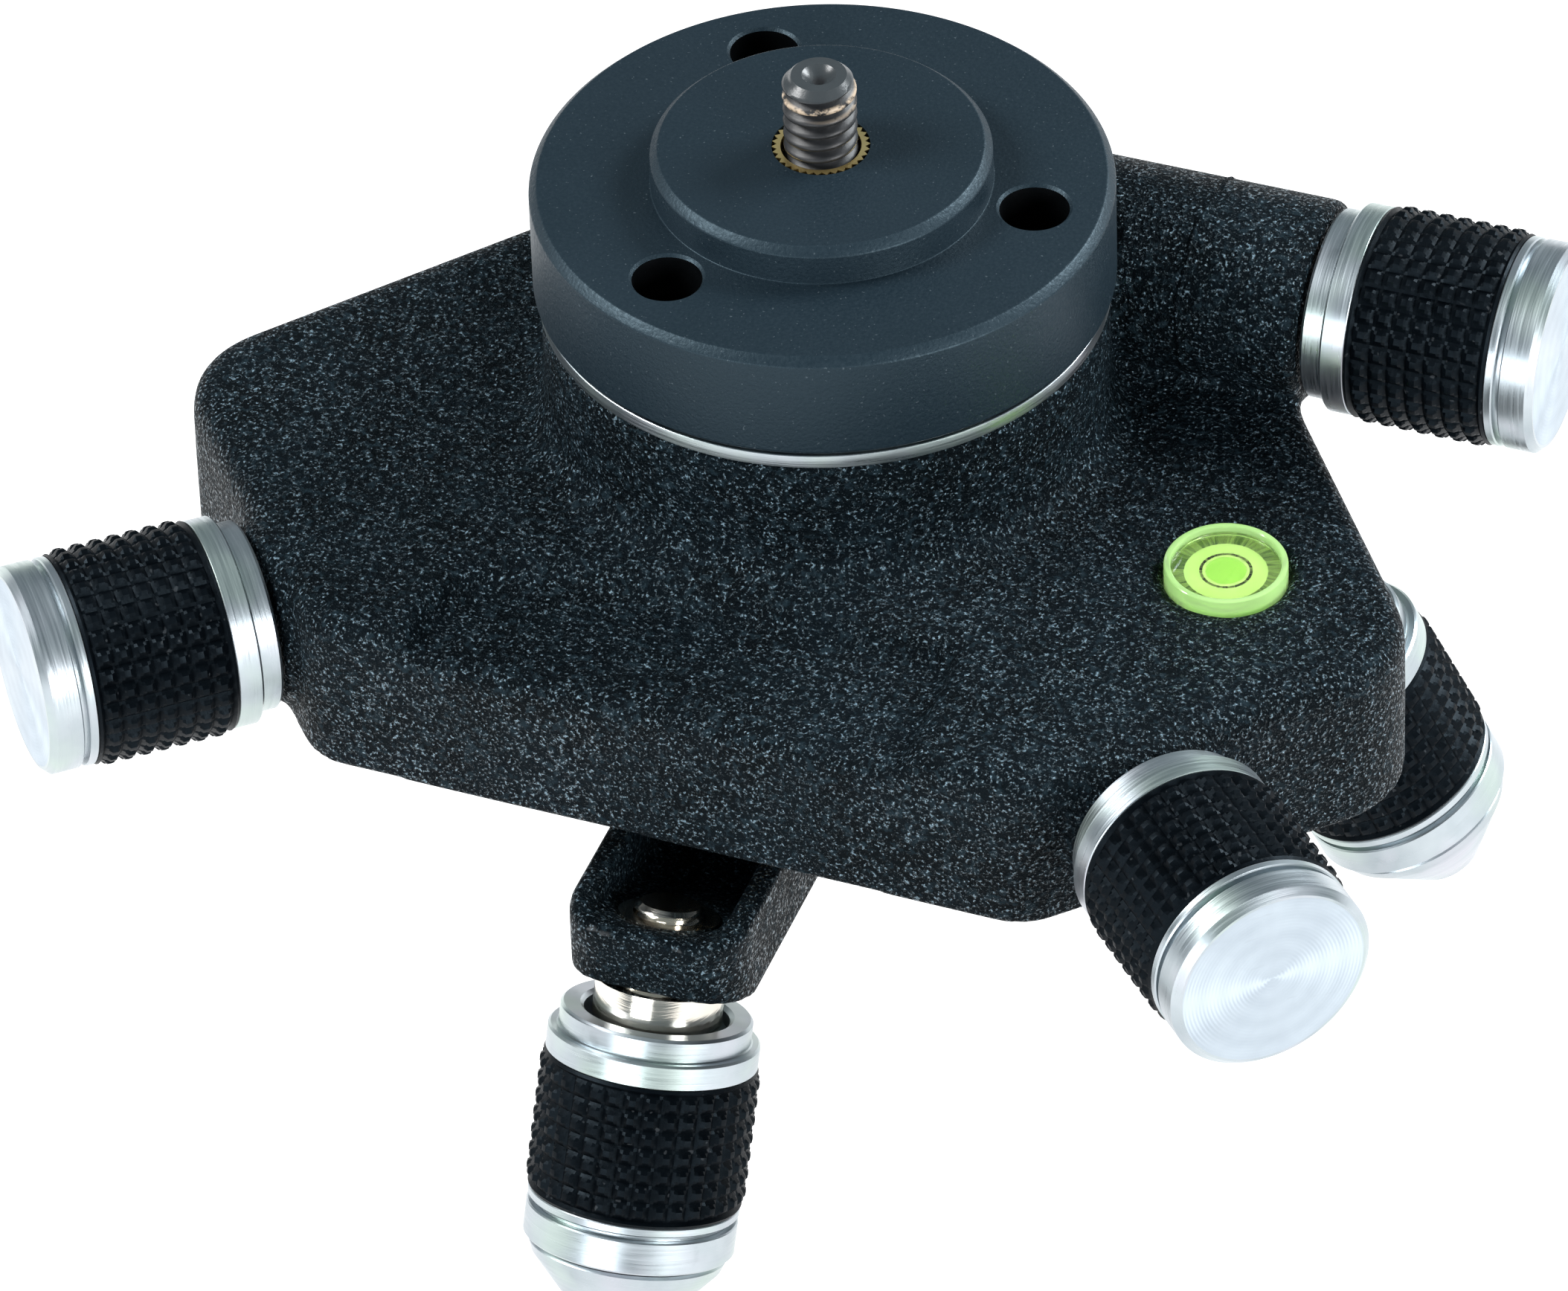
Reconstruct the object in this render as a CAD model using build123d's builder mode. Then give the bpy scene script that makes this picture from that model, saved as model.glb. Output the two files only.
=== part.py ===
# Geared levelling and panning head for a survey instrument, millimetres, +Z up.
# Origin: centre of the instrument seat, on the pan axis.  -Y is the side of foot 1.
import math
import os

from build123d import *

os.makedirs("parts", exist_ok=True)

# ---- driving dimensions -------------------------------------------------
boss_r = 14.6
boss_h = 3.5
disc_r = 25.0
disc_t = 10.5
disc_chamfer = 0.7
hole_r = 3.0
hole_pcd = 37.2
hole_depth = 8.0
hole_turn = -24.5
stud_r = 3.175
stud_out = 7.5
stud_in = 10.0
stud_chamfer = 0.8
stud_dimple_r = 1.5
stud_dimple = 1.2
relief_r = 2.75
relief_top = -0.1
relief_t = 0.8
insert_r = 4.2
insert_t = 9.0
insert_recess = 0.4

ring_r = 24.6
ring_t = 1.3
seat_gap = 0.05
turret_r = 24.4
turret_fillet = 3.0
turret_round = 0.5
plate_top = -27.4
valley_floor = -29.5
valley_left = -23.0
valley_right = 22.0
valley_back = -28.0
valley_r = 11.0
skirt_bottom = -43.5
wall = 2.4
wall_taper = 1.2
edge_round = 2.0
corner_round = 6.0
side_corner_round = 9.0
face_dist = 42.45
front_face_az = -1.1
right_face_az = 125.8
right_face_dist = 38.8
left_face_az = -129.4
left_face_dist = 35.4
corner_dist_left = 51.3
corner_dist_right = 53.6
corner_az_left = -50.0
corner_az_right = 45.0
back_dist = 29.5

worm_y = 18.4
worm_z = -21.2
barrel_r = 8.8
barrel_right = 38.9
barrel_left = -25.0
worm_bore_r = 5.2
gear_module = 0.6
gear_teeth = 46
gear_half = 3.0
gear_r = gear_module * gear_teeth / 2
worm_r = worm_y - gear_r
worm_pitch = math.pi * gear_module
worm_half = 7.5
shaft_r = 2.5
thread_depth = 1.9 * gear_module
tooth_root_w = 2.05 * gear_module
tooth_flank = 72
worm_bush_left = 5.0
worm_bush_right = 14.0
barrel_cap = 3.0
shaft_end_gap = 1.3
pocket_r = 14.9
pocket_above = 0.4
disc_clearance = 0.5
spindle_r = 8.0
spindle_lift = 0.4
thrust_bore_r = 12.0
journal_r = 6.0
bearing_top = -24.7
bearing_bottom = -27.7
spindle_bottom = -31.0
retainer_r = 9.5
retainer_t = 2.0
retainer_gap = 0.3
retainer_chamfer = 0.3
run_gap = 0.05

knob_z = -35.7
knob_left_face = 52.6
knob_right_face = 55.2
knob_right_shift = 4.7
knob_gap = 0.4
small_ring_r = 8.3
small_ring_t = 2.0
large_ring_r = 9.15
large_ring_t = 2.2
grip_r = 9.5
grip_inner_r = 7.6
grip_t = 12.5
thin_ring_t = 0.8
groove_t = 0.5
groove_r = 8.5
cap_t = 3.0
cap_chamfer = 0.6
core_bore = 14.0

drive_r = 3.0
drive_in = 13.2
tilt_bore_r = 4.6
tilt_bush_t = 10.5
tilt_boss_r = 5.9
tilt_boss_t = 18.0
pad_r = 8.0
pad_t = 6.0
pusher_r = 2.2
pusher_head_t = 3.6
pusher_from = -17.4
pusher_round = 1.2
pusher_gap = 0.6

pivot_z = -48.0
post_r = 5.0
post_top = -33.0
gimbal_in = 7.6
gimbal_out = 12.0
gimbal_h = 4.4
pin_r = 1.2
lug_in = 12.6
lug_out = 16.2
lug_w = 5.0
pin_in = 8.4
gimbal_az = -47.5
cover_t = 1.0
cover_hole_r = 12.4
hub_r = 18.5
hub_top = -52.0
hub_bottom = -62.0
block_half = 7.5
block_bottom = -42.0
post_foot = -56.0
tripod_r = 4.7
tripod_insert_r = 8.0

splay = 25.0
foot_az = (0.0, 112.0, -112.0)
foot_reach = (45.0, 42.6, 42.6)
foot_height = (-60.2, -58.8, -58.8)
foot_set = (0.0, -1.8, -1.8)
plate_gap = 2.6
end_plate_t = 6.0
bush_r = 5.6
bush_spigot_r = 4.4
bush_down = 0.6
screw_r = 3.1
screw_up = 9.6
screw_in = 12.0
bush_recess = 5.0
bush_clearance = 0.7
screw_chamfer = 0.4
arm_w = 16.0
arm_beyond = 2.9
arm_wall = 2.2
arm_root = 17.4
arm_top = -50.0
arm_bottom = -58.4
arm_floor = 2.6
arm_round = 4.5
plate_above = 10.6
tip_r = 3.0
tip_cone_r = 8.6
tip_cone_h = 8.0
tip_cone_end = 2.4
tip_gap = 0.3
tip_in = 0.4
tip_round = 1.2

vial_x = 40.0
vial_y = -11.5
vial_r = 5.3
vial_depth = 6.0
vial_up = 0.9
vial_wall = 0.6
vial_sink = 0.7
lens_t = 1.6
lens_round = 0.6
bubble_r = 1.7
bubble_t = 0.6

far = 60.0


# ---- helpers ------------------------------------------------------------
def radial(azimuth):
    """Unit vector in plan; azimuth 0 is -Y, positive toward +X."""
    angle = math.radians(azimuth)
    return Vector(math.sin(angle), -math.cos(angle), 0)


def sideways(azimuth):
    """Unit vector in plan a quarter turn on from the radial direction."""
    angle = math.radians(azimuth)
    return Vector(math.cos(angle), math.sin(angle), 0)


def axial_plane(origin, direction):
    """Plane whose normal runs along the given direction."""
    side = Vector(0, 0, 1).cross(direction)
    if side.length < 1e-6:
        side = Vector(1, 0, 0)
    return Plane(origin=origin, x_dir=side, z_dir=direction)


def rod(radius, start, length, mode=Mode.ADD):
    """Cylinder along the workplane normal, from start for length."""
    with Locations((0, 0, start)):
        Cylinder(radius, length, align=(Align.CENTER, Align.CENTER, Align.MIN), mode=mode)


def outline(inset):
    """Housing plan as a polygon: three long faces and three cut corners."""
    lines = [
        (front_face_az, face_dist - inset),
        (corner_az_right, corner_dist_right - inset),
        (right_face_az, right_face_dist - inset),
        (180.0, back_dist - inset),
        (left_face_az, left_face_dist - inset),
        (corner_az_left, corner_dist_left - inset),
    ]
    points = []
    for i in range(len(lines)):
        az1, d1 = lines[i]
        az2, d2 = lines[(i + 1) % len(lines)]
        n1 = radial(az1)
        n2 = radial(az2)
        det = n1.X * n2.Y - n1.Y * n2.X
        points.append(((d1 * n2.Y - d2 * n1.Y) / det, (n1.X * d2 - n2.X * d1) / det))
    return points


def save(builder, label):
    """Name a finished node and write it out."""
    builder.part.label = label
    export_step(builder.part, "parts/" + label + ".step")


def foot_plane(index):
    """Plane square to a foot's axis, one plate gap below its arm, normal down the foot."""
    angle = math.radians(splay)
    out = radial(foot_az[index])
    origin = out * foot_reach[index] + Vector(0, 0, foot_height[index])
    direction = out * math.sin(angle) - Vector(0, 0, math.cos(angle))
    return Plane(origin=origin, x_dir=sideways(foot_az[index]), z_dir=direction)


def foot_arm(index):
    """Open-topped channel arm whose end plate stands square to the foot's axis."""
    out = radial(foot_az[index])
    tilted = foot_plane(index)
    side = sideways(foot_az[index])
    arm_end = foot_reach[index] + arm_beyond
    root = Plane(origin=out * arm_root + Vector(0, 0, arm_bottom), x_dir=side, z_dir=out)
    inside = Plane(
        origin=out * (arm_root + arm_floor) + Vector(0, 0, arm_bottom + arm_wall),
        x_dir=side,
        z_dir=out,
    )
    with BuildPart() as pocket:
        with Locations(inside.location):
            Box(arm_w - 2 * arm_wall, far, far, align=(Align.CENTER, Align.MIN, Align.MIN))
        with Locations(tilted.location):
            with Locations((0, 0, -plate_gap - end_plate_t)):
                Cylinder(
                    far,
                    far,
                    align=(Align.CENTER, Align.CENTER, Align.MIN),
                    mode=Mode.SUBTRACT,
                )
    with BuildPart() as arm:
        with Locations(root.location):
            Box(
                arm_w,
                arm_top - arm_bottom,
                arm_end - arm_root,
                align=(Align.CENTER, Align.MIN, Align.MIN),
            )
        front_point = out * 2 * arm_end + Vector(0, 0, arm_top)
        fillet(arm.edges().filter_by(Axis.Z).sort_by_distance(front_point)[:2], arm_round)
        with Locations(tilted.location):
            with Locations((0, -plate_above, -plate_gap)):
                Box(
                    far,
                    far,
                    far,
                    align=(Align.CENTER, Align.MIN, Align.MIN),
                    mode=Mode.SUBTRACT,
                )
        add(pocket.part, mode=Mode.SUBTRACT)
        with Locations(tilted.location):
            Cylinder(bush_spigot_r, far, mode=Mode.SUBTRACT)
    return arm.part


ring_end = small_ring_t + large_ring_t
grip_end = ring_end + grip_t
core_end = grip_end + thin_ring_t + groove_t
knob_end = core_end + cap_t


def knob_core(plane, bore_r, bore_from, bore_to, recess):
    """Turned aluminium core of a knob; the workplane is its inner face."""
    with BuildPart(plane) as core:
        rod(small_ring_r, 0, small_ring_t)
        rod(large_ring_r, small_ring_t, large_ring_t)
        rod(grip_inner_r, ring_end, grip_t)
        rod(large_ring_r, grip_end, thin_ring_t)
        rod(groove_r, grip_end + thin_ring_t, groove_t)
        rod(bore_r, bore_from, bore_to - bore_from, Mode.SUBTRACT)
        if recess:
            rod(bush_r + bush_clearance, 0, bush_recess, Mode.SUBTRACT)
    return core


def knob_grip(plane):
    """Rubber sleeve of a knob."""
    with BuildPart(plane) as grip:
        rod(grip_r, ring_end, grip_t)
        rod(grip_inner_r, ring_end, grip_t, Mode.SUBTRACT)
    return grip


def knob_cap(plane, bore_r):
    """Turned end band of a knob, bored through when bore_r is above zero."""
    with BuildPart(plane) as cap:
        rod(large_ring_r, core_end, cap_t)
        if bore_r > 0:
            rod(bore_r, core_end, cap_t, Mode.SUBTRACT)
        else:
            chamfer(cap.edges().sort_by_distance(plane.origin)[-1], cap_chamfer)
    return cap


disc_top = -boss_h
disc_bottom = disc_top - disc_t
ring_top = disc_bottom
turret_top = ring_top - ring_t - seat_gap

# ---- pan body -----------------------------------------------------------
with BuildPart(Plane.XY.offset(disc_bottom)) as pan_disc:
    rod(disc_r, 0, disc_t)
    chamfer(pan_disc.edges().filter_by(GeomType.CIRCLE), disc_chamfer)
    rod(boss_r, disc_t, boss_h)
    chamfer(pan_disc.edges().filter_by(GeomType.CIRCLE).sort_by(Axis.Z)[-1], disc_chamfer)
    with Locations((0, 0, disc_t)):
        with PolarLocations(hole_pcd / 2, 3, start_angle=hole_turn - 90):
            Cylinder(hole_r, hole_depth * 2, mode=Mode.SUBTRACT)
    rod(insert_r, 0, disc_t + boss_h, Mode.SUBTRACT)
save(pan_disc, "pan_disc")

with BuildPart(Plane.XY.offset(-insert_t)) as brass_insert:
    rod(insert_r, 0, insert_t - insert_recess)
    rod(stud_r, 0, insert_t, Mode.SUBTRACT)
save(brass_insert, "brass_insert")

with BuildPart(Plane.XY.offset(-stud_in)) as mounting_stud:
    rod(stud_r, 0, stud_in + stud_out)
    chamfer(mounting_stud.edges().filter_by(GeomType.CIRCLE).sort_by(Axis.Z)[-1], stud_chamfer)
    with Locations((0, 0, stud_in + stud_out)):
        Cone(
            0.01,
            stud_dimple_r,
            stud_dimple,
            align=(Align.CENTER, Align.CENTER, Align.MAX),
            mode=Mode.SUBTRACT,
        )
    # thread relief just under the seat
    with BuildSketch(Plane.XY.offset(relief_top - relief_t)):
        Circle(stud_r + 1)
        Circle(relief_r, mode=Mode.SUBTRACT)
    extrude(amount=relief_t, mode=Mode.SUBTRACT)
save(mounting_stud, "mounting_stud")

spindle_step = bearing_top + spindle_lift
with BuildPart(Plane.XY.offset(spindle_bottom)) as pan_spindle:
    rod(journal_r, 0, spindle_step - spindle_bottom)
    rod(spindle_r, spindle_step - spindle_bottom, disc_bottom - spindle_step)
save(pan_spindle, "pan_spindle")

with BuildPart() as worm_wheel:
    with BuildSketch(Plane.XY.offset(worm_z - gear_half)):
        Circle(gear_r - 1.15 * gear_module)
        with PolarLocations(gear_r - 1.2 * gear_module, gear_teeth, start_angle=90):
            Trapezoid(
                tooth_root_w,
                thread_depth,
                tooth_flank,
                rotation=-90,
                align=(Align.CENTER, Align.MIN),
            )
        Circle(spindle_r, mode=Mode.SUBTRACT)
    extrude(amount=2 * gear_half)
save(worm_wheel, "worm_wheel")

with BuildPart(Plane.XY.offset(bearing_bottom - retainer_gap - retainer_t)) as pan_retainer:
    rod(retainer_r, 0, retainer_t)
    rod(journal_r, 0, retainer_t, Mode.SUBTRACT)
    chamfer(pan_retainer.edges().filter_by(GeomType.CIRCLE).sort_by(SortBy.RADIUS)[-2:], retainer_chamfer)
save(pan_retainer, "pan_retainer")

# ---- housing body -------------------------------------------------------
left_axis = radial(corner_az_left)
right_axis = radial(corner_az_right)
left_face = left_axis * knob_left_face + Vector(0, 0, knob_z)
right_face = right_axis * knob_right_face + sideways(corner_az_right) * knob_right_shift
right_face = right_face + Vector(0, 0, knob_z)
left_plane = axial_plane(left_face, left_axis)
right_plane = axial_plane(right_face, right_axis)
worm_plane = Plane(origin=(0, worm_y, worm_z), x_dir=(0, 1, 0), z_dir=(1, 0, 0))
tilt_planes = (left_plane, right_plane)
inner_depth = valley_floor - wall - skirt_bottom

with BuildPart() as housing_shell:
    with BuildSketch(Plane.XY.offset(skirt_bottom)):
        Polygon(*outline(0), align=None)
    extrude(amount=plate_top - skirt_bottom)
    corners = housing_shell.edges().filter_by(Axis.Z).sort_by(Axis.X)
    side_corners = (corners[0], corners[-1])
    fillet(side_corners, side_corner_round)
    corners = housing_shell.edges().filter_by(Axis.Z).filter_by_position(
        Axis.Y, -face_dist - 1, -face_dist + 1
    )
    fillet(corners, corner_round)
    fillet(housing_shell.faces().sort_by(Axis.Z)[-1].edges(), edge_round)
    with BuildSketch(Plane.XY.offset(plate_top)):
        Circle(turret_r)
    extrude(amount=turret_top - plate_top)
    turret_edges = housing_shell.edges().filter_by(GeomType.CIRCLE)
    turret_edges = turret_edges.filter_by(lambda e: abs(e.radius - turret_r) < 0.01)
    fillet(turret_edges.sort_by(Axis.Z)[0], turret_fillet)
    fillet(housing_shell.faces().sort_by(Axis.Z)[-1].edges(), turret_round)
    # shallow valley in the middle of the front edge
    with BuildSketch(Plane.XY.offset(valley_floor)) as valley:
        with Locations((valley_left, valley_back)):
            Rectangle(valley_right - valley_left, far, align=(Align.MIN, Align.MAX))
        fillet(valley.vertices().sort_by_distance((valley_left, valley_back, 0))[0], valley_r)
    extrude(amount=plate_top - valley_floor + 1, mode=Mode.SUBTRACT)
    with Locations(worm_plane.location):
        with Locations((0, 0, barrel_left)):
            Cylinder(
                barrel_r,
                barrel_right - barrel_left,
                align=(Align.CENTER, Align.CENTER, Align.MIN),
            )
    # round pads that the two tilt knobs run against
    for face_plane in tilt_planes:
        with Locations(face_plane.location):
            with Locations((0, 0, -knob_gap)):
                Cylinder(pad_r, pad_t, align=(Align.CENTER, Align.CENTER, Align.MAX))
    # flat underside
    with Locations((0, 0, skirt_bottom)):
        Box(3 * far, 3 * far, far, align=(Align.CENTER, Align.CENTER, Align.MAX), mode=Mode.SUBTRACT)
    # hollow skirt
    with BuildSketch(Plane.XY.offset(skirt_bottom)):
        Polygon(*outline(wall + wall_taper), align=None)
    extrude(amount=inner_depth, mode=Mode.SUBTRACT)
    # tilt drive bosses kept inside the hollow
    for face_plane in tilt_planes:
        with Locations(face_plane.location):
            with Locations((0, 0, -knob_gap)):
                Cylinder(tilt_boss_r, tilt_boss_t, align=(Align.CENTER, Align.CENTER, Align.MAX))
            with Locations((0, 0, 1)):
                Cylinder(
                    tilt_bore_r,
                    far,
                    align=(Align.CENTER, Align.CENTER, Align.MAX),
                    mode=Mode.SUBTRACT,
                )
    # room for the turning disc above the turret
    with Locations((0, 0, turret_top)):
        Cylinder(
            disc_r + disc_clearance,
            far,
            align=(Align.CENTER, Align.CENTER, Align.MIN),
            mode=Mode.SUBTRACT,
        )
    # wheel pocket, spindle bore and worm bore
    with Locations((0, 0, worm_z + gear_half + pocket_above)):
        Cylinder(pocket_r, far, align=(Align.CENTER, Align.CENTER, Align.MAX), mode=Mode.SUBTRACT)
    with Locations((0, 0, worm_z)):
        Cylinder(spindle_r + run_gap, far, mode=Mode.SUBTRACT)
    with Locations(worm_plane.location):
        with Locations((0, 0, barrel_left + barrel_cap)):
            Cylinder(
                worm_bore_r,
                barrel_right - barrel_left,
                align=(Align.CENTER, Align.CENTER, Align.MIN),
                mode=Mode.SUBTRACT,
            )
    # vial pocket
    with Locations((vial_x, vial_y, plate_top)):
        Cylinder(vial_r, 2 * vial_depth, mode=Mode.SUBTRACT)
save(housing_shell, "housing_shell")

with BuildPart(Plane.XY.offset(turret_top)) as thrust_ring:
    rod(ring_r, 0, ring_t)
    rod(thrust_bore_r, 0, ring_t, Mode.SUBTRACT)
save(thrust_ring, "thrust_ring")

with BuildPart(Plane.XY.offset(bearing_bottom)) as bearing_plate:
    rod(pocket_r, 0, bearing_top - bearing_bottom)
    rod(journal_r + run_gap, 0, bearing_top - bearing_bottom, Mode.SUBTRACT)
save(bearing_plate, "bearing_plate")

with BuildPart(worm_plane) as worm_bushes:
    rod(worm_bore_r, barrel_left + barrel_cap, worm_bush_left)
    rod(worm_bore_r, barrel_right - worm_bush_right, worm_bush_right)
    rod(shaft_r + run_gap, barrel_left, 2 * far, Mode.SUBTRACT)
save(worm_bushes, "worm_bushes")

with BuildPart() as bottom_cover:
    with BuildSketch(Plane.XY.offset(skirt_bottom)):
        Polygon(*outline(wall + wall_taper), align=None)
        Circle(cover_hole_r, mode=Mode.SUBTRACT)
    extrude(amount=cover_t)
    for sign in (-1, 1):
        lug_axis = radial(gimbal_az + 90) * sign
        with Locations(axial_plane(lug_axis * lug_in + Vector(0, 0, pivot_z), lug_axis).location):
            Cylinder(lug_w / 2, lug_out - lug_in, align=(Align.CENTER, Align.CENTER, Align.MIN))
            Box(lug_w, lug_w, lug_out - lug_in, align=(Align.CENTER, Align.MIN, Align.MIN))
            Cylinder(pin_r, far, mode=Mode.SUBTRACT)
save(bottom_cover, "bottom_cover")

for side, face_plane in (("left", left_plane), ("right", right_plane)):
    with BuildPart(face_plane) as tilt_bush:
        rod(tilt_bore_r, -knob_gap - tilt_bush_t, tilt_bush_t)
        rod(drive_r + run_gap, -knob_gap - tilt_bush_t, tilt_bush_t, Mode.SUBTRACT)
    save(tilt_bush, "tilt_" + side + "_bush")

inner_r = vial_r - vial_wall
down = (Align.CENTER, Align.CENTER, Align.MAX)
cup_h = vial_depth + vial_up
with BuildPart(Plane.XY.offset(plate_top + vial_up)) as vial_cup:
    with Locations((vial_x, vial_y, 0)):
        Cylinder(vial_r, cup_h, align=down)
        Cylinder(inner_r, cup_h - vial_wall, align=down, mode=Mode.SUBTRACT)
save(vial_cup, "vial_cup")

with BuildPart(Plane.XY.offset(plate_top - vial_sink)) as vial_fluid:
    with Locations((vial_x, vial_y, 0)):
        Cylinder(inner_r, vial_depth - vial_wall - vial_sink, align=down)
        Cylinder(bubble_r, bubble_t, align=down, mode=Mode.SUBTRACT)
save(vial_fluid, "vial_fluid")

with BuildPart(Plane.XY.offset(plate_top - vial_sink)) as vial_bubble:
    with Locations((vial_x, vial_y, 0)):
        Cylinder(bubble_r, bubble_t, align=down)
save(vial_bubble, "vial_bubble")

with BuildPart(Plane.XY.offset(plate_top - vial_sink)) as vial_lens:
    with Locations((vial_x, vial_y, 0)):
        Cylinder(inner_r, lens_t, align=(Align.CENTER, Align.CENTER, Align.MIN))
    fillet(vial_lens.edges().filter_by(GeomType.CIRCLE).sort_by(Axis.Z)[-1], lens_round)
save(vial_lens, "vial_lens")

# ---- knobs --------------------------------------------------------------
pan_plane = worm_plane.offset(barrel_right + knob_gap)
knob_sets = (
    ("pan", pan_plane, shaft_r),
    ("tilt_left", left_plane, drive_r),
    ("tilt_right", right_plane, drive_r),
)
for side, face_plane, bore in knob_sets:
    save(knob_core(face_plane, bore, 0, core_bore, False), side + "_knob_core")
    save(knob_grip(face_plane), side + "_knob_grip")
    save(knob_cap(face_plane, 0), side + "_knob_cap")

# ---- worm ---------------------------------------------------------------
worm_root_r = worm_r - 1.2 * gear_module
thread_profile_w = 0.42 * worm_pitch
shaft_from = barrel_left + barrel_cap + shaft_end_gap
with BuildPart() as worm_shaft:
    with Locations(worm_plane.location):
        with Locations((0, 0, shaft_from)):
            Cylinder(
                shaft_r,
                barrel_right + knob_gap + core_bore - shaft_from,
                align=(Align.CENTER, Align.CENTER, Align.MIN),
            )
        Cylinder(worm_root_r, 2 * worm_half)
thread_path = Helix(worm_pitch, 2 * worm_half - 2 * worm_pitch, worm_root_r - 0.1)
thread_start = Plane(
    origin=thread_path @ 0,
    x_dir=(1, 0, 0),
    z_dir=thread_path % 0,
)
with BuildPart() as thread:
    with BuildSketch(thread_start):
        Trapezoid(
            thread_profile_w,
            thread_depth,
            tooth_flank,
            rotation=-90,
            align=(Align.CENTER, Align.MIN),
        )
    sweep(path=thread_path, is_frenet=True)
thread_solid = thread.part.moved(Location((0, 0, worm_pitch - worm_half)))
thread_solid = thread_solid.moved(worm_plane.location)
with BuildPart() as worm_full:
    add(worm_shaft.part)
    add(thread_solid)
save(worm_full, "worm_shaft")

# ---- tilt drives --------------------------------------------------------
for side, face_plane, reach in (
    ("left", left_plane, knob_left_face),
    ("right", right_plane, knob_right_face),
):
    with BuildPart(face_plane) as tilt_screw:
        rod(drive_r, -drive_in, drive_in + core_bore)
    save(tilt_screw, "tilt_" + side + "_screw")
    with BuildPart(face_plane) as tilt_pusher:
        nose = block_half + pusher_gap - reach
        rod(tilt_bore_r - run_gap, pusher_from, pusher_head_t)
        rod(pusher_r, nose, pusher_from + pusher_head_t - nose - 0.2)
        round_edges = tilt_pusher.edges().filter_by(GeomType.CIRCLE)
        fillet(round_edges.sort_by_distance(Vector(0, 0, knob_z))[0], pusher_round)
    save(tilt_pusher, "tilt_" + side + "_pusher")

# ---- gimbal -------------------------------------------------------------
with BuildPart() as gimbal_ring:
    with BuildSketch(Plane.XY.offset(pivot_z - gimbal_h / 2)):
        Circle(gimbal_out)
        Circle(gimbal_in, mode=Mode.SUBTRACT)
    extrude(amount=gimbal_h)
    for azimuth in (gimbal_az, gimbal_az + 90):
        with Locations(axial_plane(Vector(0, 0, pivot_z), radial(azimuth)).location):
            Cylinder(pin_r + run_gap, far, mode=Mode.SUBTRACT)
save(gimbal_ring, "gimbal_ring")

for name, azimuth in (("gimbal_pins_lower", gimbal_az), ("gimbal_pins_upper", gimbal_az + 90)):
    with BuildPart() as pins:
        for sign in (-1, 1):
            pin_axis = radial(azimuth) * sign
            start = pin_axis * pin_in + Vector(0, 0, pivot_z)
            with Locations(axial_plane(start, pin_axis).location):
                Cylinder(pin_r, lug_out - pin_in, align=(Align.CENTER, Align.CENTER, Align.MIN))
    save(pins, name)

# ---- base ---------------------------------------------------------------
insert_height = post_foot - 0.2 - hub_bottom
with BuildPart() as spider_frame:
    rod(hub_r, hub_bottom, hub_top - hub_bottom)
    for index in range(len(foot_az)):
        add(foot_arm(index))
    for sign in (-1, 1):
        lug_axis = radial(gimbal_az) * sign
        with Locations(axial_plane(lug_axis * lug_in + Vector(0, 0, pivot_z), lug_axis).location):
            Cylinder(lug_w / 2, lug_out - lug_in, align=(Align.CENTER, Align.CENTER, Align.MIN))
            Box(lug_w, pivot_z - hub_top, lug_out - lug_in, align=(Align.CENTER, Align.MAX, Align.MIN))
            Cylinder(pin_r, far, mode=Mode.SUBTRACT)
    with Locations((0, 0, hub_top)):
        Cylinder(
            post_r,
            hub_top - post_foot,
            align=(Align.CENTER, Align.CENTER, Align.MAX),
            mode=Mode.SUBTRACT,
        )
    rod(tripod_insert_r, hub_bottom, insert_height, Mode.SUBTRACT)
save(spider_frame, "spider_frame")

with BuildPart(Plane.XY.offset(hub_bottom)) as tripod_insert:
    rod(tripod_insert_r, 0, insert_height)
    rod(tripod_r, 0, insert_height, Mode.SUBTRACT)
save(tripod_insert, "tripod_insert")

with BuildPart(Plane.XY.offset(post_foot)) as tilt_post:
    rod(post_r, 0, block_bottom - post_foot)
    with Locations(Location((0, 0, block_bottom - post_foot), (0, 0, corner_az_right))):
        Box(
            2 * block_half,
            2 * block_half,
            post_top - block_bottom,
            align=(Align.CENTER, Align.CENTER, Align.MIN),
        )
save(tilt_post, "tilt_post")

with BuildPart() as foot_bushes:
    for index in range(len(foot_az)):
        with Locations(foot_plane(index).location):
            with Locations((0, 0, bush_down)):
                Cylinder(bush_r, plate_gap + bush_down, align=(Align.CENTER, Align.CENTER, Align.MAX))
            with Locations((0, 0, -plate_gap)):
                Cylinder(bush_spigot_r, end_plate_t, align=(Align.CENTER, Align.CENTER, Align.MAX))
            Cylinder(screw_r + run_gap, far, mode=Mode.SUBTRACT)
save(foot_bushes, "foot_bushes")

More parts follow.
